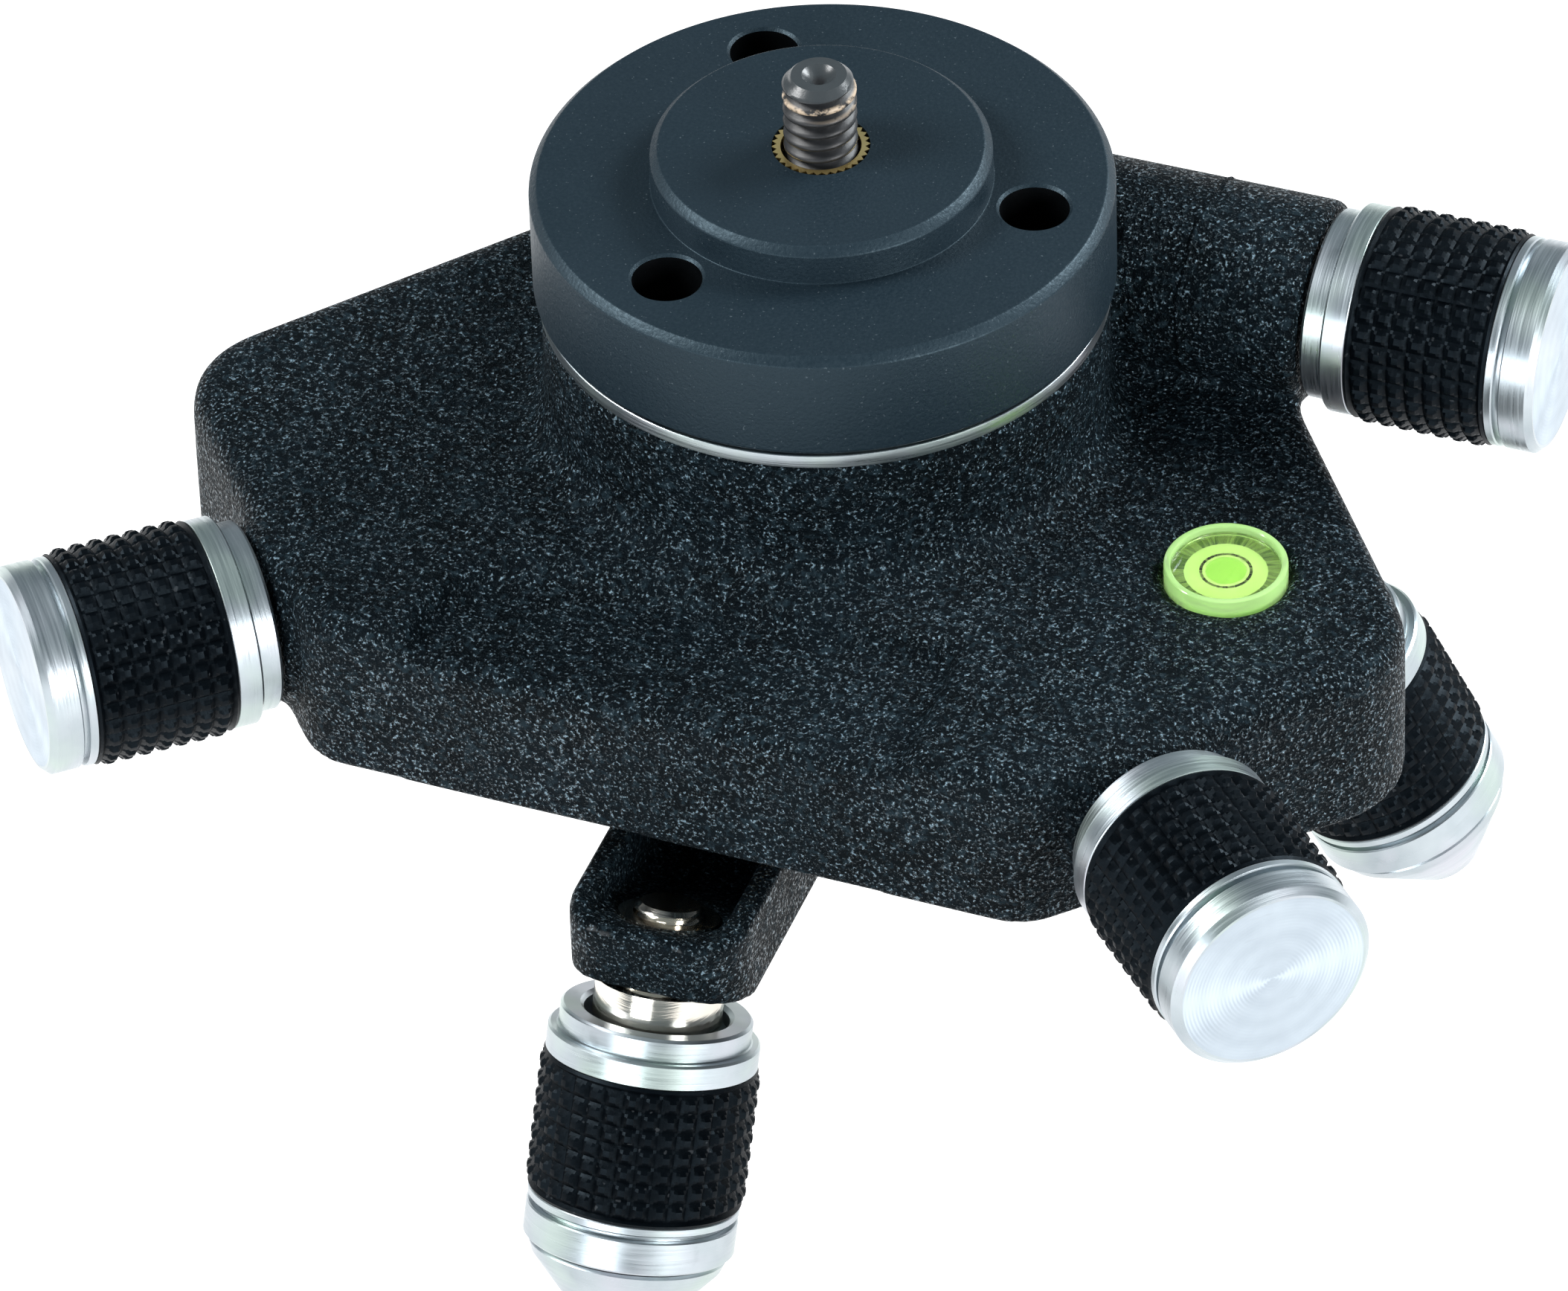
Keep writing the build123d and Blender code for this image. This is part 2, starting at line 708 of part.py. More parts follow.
# ---- feet ---------------------------------------------------------------
for index in range(len(foot_az)):
    plane = foot_plane(index).offset(foot_set[index])
    name = "foot_" + str(index + 1)
    core = knob_core(plane, screw_r, 0, screw_in, True)
    with BuildPart() as foot_core:
        add(core.part)
        with Locations(plane.location):
            with Locations((0, 0, screw_in - 1)):
                Cylinder(
                    tip_r + run_gap,
                    far,
                    align=(Align.CENTER, Align.CENTER, Align.MIN),
                    mode=Mode.SUBTRACT,
                )
    save(foot_core, name + "_core")
    save(knob_grip(plane), name + "_grip")
    save(knob_cap(plane, tip_r + run_gap), name + "_cap")
    with BuildPart(plane) as foot_screw:
        rod(screw_r, -screw_up, screw_up + screw_in)
        chamfer(foot_screw.edges().filter_by(GeomType.CIRCLE), screw_chamfer)
    save(foot_screw, name + "_screw")
    with BuildPart(plane) as foot_tip:
        rod(tip_r, screw_in + tip_in, knob_end + tip_gap - screw_in - tip_in)
        with Locations((0, 0, knob_end + tip_gap)):
            Cone(
                tip_cone_r,
                tip_cone_end,
                tip_cone_h,
                align=(Align.CENTER, Align.CENTER, Align.MIN),
            )
        fillet(foot_tip.edges().filter_by(GeomType.CIRCLE).sort_by(Axis.Z)[0], tip_round)
    save(foot_tip, name + "_tip")
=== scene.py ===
import math
import random

import bmesh
import bpy
from mathutils import Matrix, Vector


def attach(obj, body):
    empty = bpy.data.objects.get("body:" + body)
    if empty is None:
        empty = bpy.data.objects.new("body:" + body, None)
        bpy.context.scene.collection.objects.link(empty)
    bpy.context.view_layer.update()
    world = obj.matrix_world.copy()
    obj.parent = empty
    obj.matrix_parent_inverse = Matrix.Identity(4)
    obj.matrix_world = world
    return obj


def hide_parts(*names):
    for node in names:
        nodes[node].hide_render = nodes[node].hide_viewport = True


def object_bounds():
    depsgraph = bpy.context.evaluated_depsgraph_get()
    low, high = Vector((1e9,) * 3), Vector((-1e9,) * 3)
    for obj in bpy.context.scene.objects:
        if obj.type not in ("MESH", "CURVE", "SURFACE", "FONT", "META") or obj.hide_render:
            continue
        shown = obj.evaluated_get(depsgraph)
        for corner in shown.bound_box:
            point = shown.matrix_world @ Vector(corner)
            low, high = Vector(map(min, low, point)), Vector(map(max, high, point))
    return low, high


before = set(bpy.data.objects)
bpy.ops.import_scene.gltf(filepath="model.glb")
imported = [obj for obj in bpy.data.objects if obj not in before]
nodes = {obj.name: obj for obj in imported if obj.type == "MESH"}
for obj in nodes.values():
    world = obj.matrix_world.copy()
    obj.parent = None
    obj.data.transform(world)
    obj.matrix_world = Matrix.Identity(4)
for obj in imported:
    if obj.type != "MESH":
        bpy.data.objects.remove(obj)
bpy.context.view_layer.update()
random.seed(11)
MM = 0.001

# ---- driving dimensions, in metres unless named otherwise ----------------
SEAT_Z = 0.0
BOSS_R = 14.6 * MM
DISC_R = 25.0 * MM
DISC_TOP = -3.5 * MM
DISC_BOTTOM = -14.0 * MM
DISC_CHAMFER = 0.7 * MM
HOLE_COUNT = 3
HOLE_R = 3.0 * MM
HOLE_PCD = 37.2 * MM
HOLE_DEPTH = 8.0 * MM
HOLE_RIM = 0.25 * MM
HOLE_AZ = -24.5
STUD_R = 3.175 * MM
STUD_TOP = 7.5 * MM
STUD_BOTTOM = -10.0 * MM
STUD_PITCH = 1.27 * MM
STUD_THREAD = 0.66 * MM
STUD_CUP = 1.2 * MM
STUD_LEAD = 0.8 * MM
INSERT_R = 4.2 * MM
INSERT_BORE = STUD_R + 0.28 * MM
INSERT_TOP = -0.04 * MM
INSERT_BOTTOM = -9.0 * MM
INSERT_TEETH = 34
TOOTH_DEPTH = 0.42 * MM
RING_R = 24.6 * MM
RING_IN_R = DISC_R - 9 * MM
RING_T = 1.3 * MM
RING_GAP = 0.05 * MM
TURRET_TOP = DISC_BOTTOM - RING_T - RING_GAP

SMALL_RING_R = 8.3 * MM
SMALL_RING_T = 2.0 * MM
LARGE_RING_R = 9.15 * MM
LARGE_RING_T = 2.2 * MM
GRIP_R = 9.5 * MM
GRIP_IN_R = 7.6 * MM
GRIP_T = 12.5 * MM
THIN_RING_T = 0.8 * MM
GROOVE_T = 0.5 * MM
GROOVE_R = 8.5 * MM
CAP_T = 3.0 * MM
CAP_EDGE = 0.6 * MM
CAP_IN_R = 7.0 * MM
CAP_GAP = 0.02 * MM
SHAFT_R = 2.6 * MM
CORE_BORE_R = 3.2 * MM
CORE_BORE_FROM = 5.0 * MM
EASE = 0.12 * MM
RING_END = SMALL_RING_T + LARGE_RING_T
GRIP_END = RING_END + GRIP_T
CORE_END = GRIP_END + THIN_RING_T + GROOVE_T
KNOB_END = CORE_END + CAP_T
PYRAMID_ROWS = 7
PYRAMIDS_ROUND = 34
PYRAMID_H = 0.55 * MM
PYRAMID_SHAPE = (0.0, 0.38, 0.93, 1.0, 0.93, 0.38)
GRIP_LIP = 0.55 * MM

SPLAY = math.radians(25)
FOOT_AZ = (0.0, 112.0, -112.0)
FOOT_REACH = (45.0 * MM, 42.6 * MM, 42.6 * MM)
FOOT_HEIGHT = (-60.2 * MM, -58.8 * MM, -58.8 * MM)
FOOT_SET = (0.0, -1.8 * MM, -1.8 * MM)
BUSH_R = 5.6 * MM
BUSH_GAP = 0.7 * MM
FOOT_SCREW_R = 3.1 * MM
FOOT_SCREW_UP = 9.6 * MM
FOOT_SCREW_DOWN = 12.0 * MM
FOOT_PITCH = 1.0 * MM
FOOT_THREAD = 0.5 * MM
TIP_STEM_R = 2.99 * MM
TIP_STEM_FROM = 12.4 * MM
TIP_GAP = 0.3 * MM
TIP_R = 8.6 * MM
TIP_END_R = 2.4 * MM
TIP_H = 8.0 * MM

WORM_FACE = Vector((39.3, 18.4, -21.2)) * MM
BARREL_R = 8.8 * MM
TILT_Z = -35.7 * MM
LEFT_AZ = -50.0
RIGHT_AZ = 45.0
LEFT_OUT = 52.6 * MM
RIGHT_OUT = 55.2 * MM
RIGHT_SHIFT = 4.7 * MM

PLATE_TOP = -27.4 * MM
VIAL = Vector((40.0, -11.5, -27.4)) * MM
VIAL_R = 5.3 * MM
VIAL_UP = 0.9 * MM
VIAL_IN_R = VIAL_R - 0.6 * MM
VIAL_FLOOR = -0.7 * MM
VIAL_CUP_FLOOR = -5.4 * MM
VIAL_CUP_BOTTOM = -6.0 * MM
VIAL_LEDGE_W = 1.25 * MM
VIAL_MARK_R = 2.25 * MM
VIAL_MARK_W = 0.30 * MM

SEAM_X = 28.6 * MM
SEAM_START = math.radians(38)
SEAM_END = math.radians(214)

# A face whose normal is this close to Z is shaded flat, so that no streaks cross it.
FLAT = 0.99999


# ---- places --------------------------------------------------------------
def radial(azimuth):
    a = math.radians(azimuth)
    return Vector((math.sin(a), -math.cos(a), 0))


def sideways(azimuth):
    a = math.radians(azimuth)
    return Vector((math.cos(a), math.sin(a), 0))


def along(origin, direction):
    """Matrix whose local Z runs along direction, which isn't upright, from origin."""
    z = direction.normalized()
    x = Vector((0, 0, 1)).cross(z)
    x.normalize()
    y = z.cross(x)
    m = Matrix((x, y, z)).transposed().to_4x4()
    m.translation = origin
    return m


def foot_matrix(index):
    """Place of a foot's knob: its axis leans out, and FOOT_SET is how far it is screwed in."""
    out = radial(FOOT_AZ[index])
    direction = out * math.sin(SPLAY) - Vector((0, 0, math.cos(SPLAY)))
    start = out * FOOT_REACH[index] + Vector((0, 0, FOOT_HEIGHT[index]))
    return along(start + direction * FOOT_SET[index], direction)


# ---- materials -----------------------------------------------------------
# Noise scales are in cycles per metre, and the rings' numbers in radians per metre.
TOOL_LINES = 5200
FINE_RINGS = 19000
BROAD_RINGS = 3100
WINDOW_IOR = 1.45


class Graph:
    """Small helper round a material's node tree."""

    def __init__(self, name):
        self.material = bpy.data.materials.new(name)
        self.material.use_nodes = True
        self.tree = self.material.node_tree
        self.bsdf = self.tree.nodes["Principled BSDF"]
        self.coords = self.tree.nodes.new("ShaderNodeTexCoord")

    def node(self, kind, **values):
        made = self.tree.nodes.new(kind)
        for key, value in values.items():
            setattr(made, key, value)
        return made

    def link(self, a, b):
        self.tree.links.new(a, b)

    def noise(self, scale, detail=3.0, rough=0.5, stretch=None):
        made = self.node("ShaderNodeTexNoise")
        made.inputs["Scale"].default_value = scale
        made.inputs["Detail"].default_value = detail
        made.inputs["Roughness"].default_value = rough
        source = self.coords.outputs["Object"]
        if stretch:
            mapping = self.node("ShaderNodeMapping")
            mapping.inputs["Scale"].default_value = stretch
            self.link(source, mapping.inputs["Vector"])
            source = mapping.outputs["Vector"]
        self.link(source, made.inputs["Vector"])
        return made.outputs["Fac"]

    def ramp(self, source, stops):
        made = self.node("ShaderNodeValToRGB")
        elements = made.color_ramp.elements
        while len(elements) < len(stops):
            elements.new(0.5)
        for element, (place, colour) in zip(elements, stops):
            element.position = place
            element.color = (*colour, 1.0)
        self.link(source, made.inputs["Fac"])
        return made.outputs["Color"]

    def spots(self, source, low, high):
        """White where source is above high, black below low."""
        return self.ramp(source, ((low, (0, 0, 0)), (high, (1, 1, 1))))

    def spread(self, source, low, high, to_low=0.0, to_high=1.0):
        """Source's range from low to high, mapped to another range and clamped to it."""
        made = self.node("ShaderNodeMapRange")
        made.inputs["From Min"].default_value = low
        made.inputs["From Max"].default_value = high
        made.inputs["To Min"].default_value = to_low
        made.inputs["To Max"].default_value = to_high
        self.link(source, made.inputs["Value"])
        return made.outputs["Result"]

    def mix(self, factor, a, b):
        made = self.node("ShaderNodeMix", data_type="RGBA")
        for value, index in ((a, 6), (b, 7)):
            if hasattr(value, "is_output"):
                self.link(value, made.inputs[index])
            else:
                made.inputs[index].default_value = (*value, 1.0)
        if hasattr(factor, "is_output"):
            self.link(factor, made.inputs[0])
        else:
            made.inputs[0].default_value = factor
        return made.outputs[2]

    def math(self, operation, a, b=None):
        made = self.node("ShaderNodeMath", operation=operation)
        for value, index in ((a, 0), (b, 1)):
            if value is None:
                continue
            if hasattr(value, "is_output"):
                self.link(value, made.inputs[index])
            else:
                made.inputs[index].default_value = value
        return made.outputs[0]

    def from_axis(self, split):
        """Distance from object Z, given the separated object coordinates."""
        x2 = self.math("MULTIPLY", split.outputs["X"], split.outputs["X"])
        y2 = self.math("MULTIPLY", split.outputs["Y"], split.outputs["Y"])
        return self.math("SQRT", self.math("ADD", x2, y2))

    def bump(self, height, distance, strength=1.0, below=None):
        made = self.node("ShaderNodeBump")
        made.inputs["Strength"].default_value = strength
        made.inputs["Distance"].default_value = distance
        self.link(height, made.inputs["Height"])
        if below is not None:
            self.link(below, made.inputs["Normal"])
        return made.outputs["Normal"]

    def set(self, **values):
        """Set or link inputs of the shader; an underscore stands for a space in their names."""
        for key, value in values.items():
            socket = self.bsdf.inputs[key.replace("_", " ")]
            if hasattr(value, "is_output"):
                self.link(value, socket)
            elif isinstance(value, tuple) and len(value) == 3 and key == "Base_Color":
                socket.default_value = (*value, 1.0)
            else:
                socket.default_value = value
        return self.material


def cast_paint(name="cast_paint", wear=0.0):
    """Black powder coat: fine pebbled texture whose small grains are painted bright as sparkle
    glints; wear bares its edges.
    """
    g = Graph(name)
    grain = g.noise(3300, 3.0, 0.65)
    pebble = g.noise(1200, 3.0, 0.6)
    cloud = g.noise(140, 5.0, 0.65)
    dark, light = (0.0003, 0.0012, 0.0020), (0.0014, 0.0036, 0.0056)
    base = g.mix(g.spread(cloud, 0.38, 0.62), dark, light)
    dapple = g.spread(pebble, 0.52, 0.66)
    base = g.mix(g.math("MULTIPLY", dapple, 0.60), base, (0.014, 0.027, 0.036))
    # Painted sparkle: the brightest grains get a pale bluish colour standing in for glints, on top
    # of their real lower roughness and stronger specular.
    specks = g.spread(grain, 0.610, 0.660)
    base = g.mix(specks, base, (0.13, 0.20, 0.25))
    if wear > 0:
        edge = g.node("ShaderNodeNewGeometry").outputs["Pointiness"]
        patches = g.spread(g.noise(260, 4.0, 0.6), 0.50, 0.58)
        bared = g.math("MULTIPLY", g.spread(edge, 0.535, 0.58), patches)
        worn = g.math("MULTIPLY", bared, wear)
        base = g.mix(worn, base, (0.30, 0.31, 0.32))
    rough = g.spread(grain, 0.48, 0.66, 0.62, 0.18)
    shine = g.spread(grain, 0.54, 0.64, 0.07, 1.0)
    low = g.bump(pebble, 0.00060, 1.0)
    normal = g.bump(grain, 0.00034, 1.0, low)
    g.set(Base_Color=base, Roughness=rough, Metallic=0.0, Normal=normal)
    return g.set(Specular_IOR_Level=shine, Specular_Tint=(0.70, 0.90, 1.0, 1.0))


def anodised():
    """Dark anodised aluminium with a fine blasted surface."""
    g = Graph("dark_anodised")
    fine = g.noise(3200, 2.0, 0.5)
    cloud = g.noise(45, 3.0, 0.5)
    dark, light = (0.0036, 0.0088, 0.0135), (0.0066, 0.0130, 0.0190)
    base = g.mix(g.spread(cloud, 0.3, 0.7), dark, light)
    specks = g.spots(g.noise(3400, 1.0, 0.5), 0.71, 0.76)
    base = g.mix(g.math("MULTIPLY", specks, 0.25), base, (0.14, 0.17, 0.19))
    rough = g.spread(fine, 0.3, 0.7, 0.40, 0.54)
    normal = g.bump(fine, 0.00007, 0.6)
    g.set(Base_Color=base, Roughness=rough, Metallic=0.0, Normal=normal)
    return g.set(Specular_IOR_Level=0.40, Specular_Tint=(0.60, 0.85, 1.0, 1.0))


def hole_painted_shade():
    """Inside of the disc's drilled holes, painted near black as shade."""
    g = Graph("hole_painted_shade")
    cloud = g.spread(g.noise(600, 3.0, 0.5), 0.3, 0.7)
    base = g.mix(cloud, (0.0008, 0.0012, 0.0016), (0.0020, 0.0026, 0.0032))
    marks = g.noise(1.0, 2.0, 0.6, (200, 200, TOOL_LINES))
    normal = g.bump(marks, 0.00003, 0.4)
    return g.set(Base_Color=base, Roughness=0.35, Normal=normal, Specular_IOR_Level=0.25)


def stud_steel():
    """Black oxide stud: a rubbed tan band on the first turns and a bright domed end."""
    g = Graph("stud_steel")
    split = g.node("ShaderNodeSeparateXYZ")
    g.link(g.coords.outputs["Object"], split.inputs[0])
    height = split.outputs["Z"]
    radius = g.from_axis(split)
    blotch = g.noise(900, 4.0, 0.6)
    base = g.mix(g.spread(blotch, 0.3, 0.7), (0.003, 0.0035, 0.0045), (0.010, 0.011, 0.013))
    crest = g.spread(radius, STUD_R * 0.90, STUD_R * 0.97)
    low_end = g.spread(height, STUD_TOP - 3.0 * MM, STUD_TOP - 2.4 * MM)
    high_end = g.spread(height, STUD_TOP - 1.0 * MM, STUD_TOP - 1.4 * MM)
    band = g.math("MULTIPLY", g.math("MULTIPLY", low_end, high_end), crest)
    band = g.math("MULTIPLY", band, g.spread(blotch, 0.40, 0.50))
    base = g.mix(band, base, (0.42, 0.33, 0.24))
    end = g.spread(height, STUD_TOP - 0.9 * MM, STUD_TOP - 0.6 * MM)
    base = g.mix(g.math("MULTIPLY", end, 0.5), base, (0.05, 0.06, 0.065))
    rough = g.spread(end, 0.0, 1.0, 0.46, 0.30)
    normal = g.bump(blotch, 0.00006, 0.6)
    return g.set(Base_Color=base, Roughness=rough, Metallic=0.0, Normal=normal)


def turned(name, light, dark, rough, film=0.0):
    """Turned metal with object Z as the lathe's axis; film adds faint green and rose patches."""
    g = Graph(name)
    marks = g.noise(1.0, 2.0, 0.6, (120, 120, TOOL_LINES))
    cloud = g.noise(160, 3.0, 0.55)
    stain = g.spots(g.noise(320, 4.0, 0.6), 0.60, 0.72)
    base = g.mix(g.spread(cloud, 0.3, 0.7), light, dark)
    base = g.mix(g.math("MULTIPLY", stain, 0.22), base, tuple(c * 0.45 for c in dark))
    if film:
        patch = g.noise(110, 2.0, 0.5)
        green = (light[0] * 0.93, light[1], light[2] * 0.90)
        rose = (light[0], light[1] * 0.93, light[2] * 0.97)
        base = g.mix(g.spread(patch, 0.52, 0.66, 0.0, film), base, green)
        base = g.mix(g.spread(patch, 0.48, 0.34, 0.0, film), base, rose)
    roughness = g.spread(marks, 0.3, 0.7, rough * 0.8, rough * 1.3)
    normal = g.bump(marks, 0.00003, 0.35)
    return g.set(Base_Color=base, Roughness=roughness, Metallic=1.0, Normal=normal)


def faced():
    """End face of a knob, with concentric tool marks about object Z."""
    g = Graph("faced_aluminium")
    split = g.node("ShaderNodeSeparateXYZ")
    g.link(g.coords.outputs["Object"], split.inputs[0])
    radius = g.from_axis(split)
    rings = g.math("SINE", g.math("MULTIPLY", radius, FINE_RINGS))
    broad = g.math("SINE", g.math("MULTIPLY", radius, BROAD_RINGS))
    cloud = g.noise(180, 3.0, 0.55)
    base = g.mix(g.spread(cloud, 0.3, 0.7), (0.52, 0.59, 0.65), (0.45, 0.51, 0.57))
    scratch = g.spots(g.noise(1.0, 3.0, 0.6, (140, 900, 140)), 0.66, 0.70)
    base = g.mix(g.math("MULTIPLY", scratch, 0.12), base, (0.28, 0.29, 0.30))
    base = g.mix(g.spread(broad, -1.0, 1.0, 0.0, 0.14), base, (0.30, 0.35, 0.40))
    normal = g.bump(rings, 0.000012, 0.35)
    tangent = g.node("ShaderNodeTangent", direction_type="RADIAL", axis="Z").outputs[0]
    rough = g.spread(cloud, 0.3, 0.7, 0.34, 0.44)
    g.set(Base_Color=base, Roughness=rough, Metallic=1.0, Normal=normal)
    return g.set(Anisotropic=0.7, Tangent=tangent)


def rubber():
    """Matt black rubber with a little dust."""
    g = Graph("grip_rubber")
    fine = g.noise(2200, 2.0, 0.6)
    cloud = g.noise(300, 3.0, 0.6)
    dust = g.spots(g.noise(1400, 1.0, 0.5), 0.72, 0.77)
    dark, light = (0.0004, 0.0008, 0.0014), (0.0010, 0.0018, 0.0028)
    base = g.mix(g.spread(cloud, 0.3, 0.7), dark, light)
    base = g.mix(g.math("MULTIPLY", dust, 0.25), base, (0.10, 0.11, 0.12))
    rough = g.spread(cloud, 0.3, 0.7, 0.36, 0.50)
    normal = g.bump(fine, 0.00006, 0.4)
    g.set(Base_Color=base, Roughness=rough, Normal=normal)
    return g.set(Specular_IOR_Level=0.10, Specular_Tint=(0.60, 0.82, 1.0, 1.0))


def tinted(name, dark, light, glow, rough, through=0.0):
    """Fluorescent green plastic or fluid, with a painted glow: it emits a little light of its own
    colour.
    """
    g = Graph(name)
    cloud = g.noise(260, 2.0, 0.5)
    base = g.mix(g.spread(cloud, 0.3, 0.7), dark, light)
    roughness = g.spread(cloud, 0.3, 0.7, rough, rough * 1.4)
    g.set(Base_Color=base, Roughness=roughness, Transmission_Weight=through)
    # Painted glow: emission in the light colour brightens the part though it is no lamp.
    return g.set(Emission_Color=(*light, 1.0), Emission_Strength=glow)


def clear(name, tint):
    """Clear moulded window."""
    g = Graph(name)
    rough = g.spread(g.noise(500, 2.0, 0.5), 0.3, 0.7, 0.02, 0.06)
    return g.set(Base_Color=tint, Roughness=rough, Transmission_Weight=1.0, IOR=WINDOW_IOR)


ALUMINIUM = ((0.52, 0.57, 0.60), (0.38, 0.43, 0.46))
BRASS = ((0.95, 0.74, 0.34), (0.78, 0.58, 0.24))
STEEL = ((0.62, 0.62, 0.63), (0.50, 0.50, 0.52))
NICKEL = ((0.84, 0.80, 0.72), (0.70, 0.66, 0.58))
FLUID = ((0.56, 0.84, 0.20), (0.66, 0.92, 0.28))
VIAL_BODY = ((0.50, 0.78, 0.30), (0.58, 0.86, 0.36))
# Dark green of the ring under the window's edge, painted as shade and reflection.
VIAL_SHADE = ((0.10, 0.17, 0.09), (0.22, 0.32, 0.17))
MATERIALS = {
    "black_paint": cast_paint(),
    "arm_paint": cast_paint("arm_paint", 1.0),
    "stud_steel": stud_steel(),
    "hole_painted_shade": hole_painted_shade(),
    "dark_anodised": anodised(),
    "bright_aluminium": turned("turned_aluminium", *ALUMINIUM, 0.32, film=0.9),
    "faced": faced(),
    "rubber": rubber(),
    "brass": turned("brass", *BRASS, 0.30),
    "steel": turned("steel", *STEEL, 0.28),
    "nickel": turned("nickel", *NICKEL, 0.13),
    "vial_green": tinted("vial_fluid", *FLUID, 0.40, 0.20),
    "vial_body": tinted("vial_body", *VIAL_BODY, 0.10, 0.08, 0.55),
    "vial_painted_shade": tinted("vial_painted_shade", *VIAL_SHADE, 0.05, 0.15),
    "clear": clear("lens_glass", (0.93, 0.98, 0.90)),
}


def finish_piece(obj, body, material, replaced, smooth):
    """Give a finished piece its material and body, and hide the CAD nodes it stands for.

    Edges sharper than smooth degrees stay sharp; 0 smooths them all."""
    obj.data.materials.clear()
    obj.data.materials.append(MATERIALS[material])
    for face in obj.data.polygons:
        face.use_smooth = not smooth or abs(face.normal.z) < FLAT
    if smooth:
        mark_sharp(obj.data, smooth)
    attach(obj, body)
    if replaced:
        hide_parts(*replaced)


def mark_sharp(mesh, degrees):
    """Mark edges sharper than the given angle, so that smooth shading stops there."""
    bm = bmesh.new()
    bm.from_mesh(mesh)
    limit = math.radians(degrees)
    for edge in bm.edges:
        if len(edge.link_faces) == 2:
            edge.smooth = edge.calc_face_angle(0.0) < limit
    bm.to_mesh(mesh)
    bm.free()


# ---- mesh builders -------------------------------------------------------
# A radius or a height difference below this counts as none.
ON_AXIS = 1e-7
MERGE = 1e-6
THREAD_PROFILE = (0.0, 0.25, 0.62, 0.95, 1.0, 0.95, 0.62, 0.25)


def new_object(name, bm, matrix):
    mesh = bpy.data.meshes.new(name)
    bmesh.ops.recalc_face_normals(bm, faces=bm.faces)
    bm.to_mesh(mesh)
    bm.free()
    obj = bpy.data.objects.new(name, mesh)
    bpy.context.scene.collection.objects.link(obj)
    obj.matrix_world = matrix
    return obj


def join_loops(bm, loops, closed):
    """Faces between neighbouring rings of equal length, and from the last to the first if closed."""
    pairs = list(zip(loops, loops[1:]))
    if closed:
        pairs.append((loops[-1], loops[0]))
    for low, high in pairs:
        for i in range(len(low)):
            j = (i + 1) % len(low)
            bm.faces.new((low[i], low[j], high[j], high[i]))


def lathe(name, profile, matrix, steps=128):
    """Closed turning of (radius, height) points about local Z; radius 0 closes to a point."""
    bm = bmesh.new()
    rows = []
    for radius, height in profile:
        if radius < ON_AXIS:
            rows.append([bm.verts.new((0, 0, height))])
            continue
        row = []
        for i in range(steps):
            a = 2 * math.pi * i / steps
            row.append(bm.verts.new((radius * math.cos(a), radius * math.sin(a), height)))
        rows.append(row)
    closed = profile[0][0] > ON_AXIS and profile[-1][0] > ON_AXIS
    pairs = list(zip(rows, rows[1:]))
    if closed:
        pairs.append((rows[-1], rows[0]))
    for low, high in pairs:
        for i in range(steps):
            j = (i + 1) % steps
            if len(low) == 1 and len(high) == 1:
                continue
            if len(low) == 1:
                bm.faces.new((low[0], high[j], high[i]))
            elif len(high) == 1:
                bm.faces.new((low[i], low[j], high[0]))
            else:
                bm.faces.new((low[i], low[j], high[j], high[i]))
    return new_object(name, bm, matrix)


def rounded(points, radius, steps=3):
    """Profile with each corner replaced by a short arc of about the given radius."""
    made = [points[0]]
    for before, here, after in zip(points, points[1:], points[2:]):
        a = Vector(before) - Vector(here)
        b = Vector(after) - Vector(here)
        if a.length < 1e-9 or b.length < 1e-9:
            made.append(here)
            continue
        cut = min(radius, a.length * 0.45, b.length * 0.45)
        start = Vector(here) + a.normalized() * cut
        end = Vector(here) + b.normalized() * cut
        for i in range(steps + 1):
            t = i / steps
            p = start * (1 - t) ** 2 + Vector(here) * 2 * t * (1 - t) + end * t**2
            made.append((p.x, p.y))
    made.append(points[-1])
    return made


def threaded(name, radius, low, high, pitch, depth, matrix, steps, lead, cup=0.0):
    """Rod with a real helical thread between low and high.

    Its top end tapers over lead, and cup hollows it."""
    rows_per_pitch = len(THREAD_PROFILE)
    count = int((high - low) / pitch * rows_per_pitch) + 2 * rows_per_pitch
    bm = bmesh.new()
    grid = []
    for row in range(count):
        ring = []
        start = low - pitch + row * pitch / rows_per_pitch
        for i in range(steps):
            z = start + pitch * i / steps
            clamped = min(max(z, low), high)
            r = radius - depth * (1 - THREAD_PROFILE[row % rows_per_pitch])
            from_top = high - clamped
            if from_top < lead:
                r = min(r, radius - (lead - from_top))
            angle = 2 * math.pi * i / steps
            ring.append(bm.verts.new((r * math.cos(angle), r * math.sin(angle), clamped)))
        grid.append(ring)
    for row in range(count - 1):
        for i in range(steps - 1):
            bm.faces.new((grid[row][i], grid[row][i + 1], grid[row + 1][i + 1], grid[row + 1][i]))
        above = row + rows_per_pitch
        if above + 1 < count:
            last = steps - 1
            nearer, farther = grid[row][last], grid[row + 1][last]
            bm.faces.new((nearer, grid[above][0], grid[above + 1][0], farther))
    bmesh.ops.remove_doubles(bm, verts=bm.verts, dist=MERGE)
    bmesh.ops.dissolve_degenerate(bm, edges=bm.edges, dist=MERGE)
    for height, dish in ((high, cup), (low, 0.0)):
        close_end(bm, height, dish)
    return new_object(name, bm, matrix)


def bearing(vert):
    """Angle of a vertex round local Z."""
    return math.atan2(vert.co.y, vert.co.x)


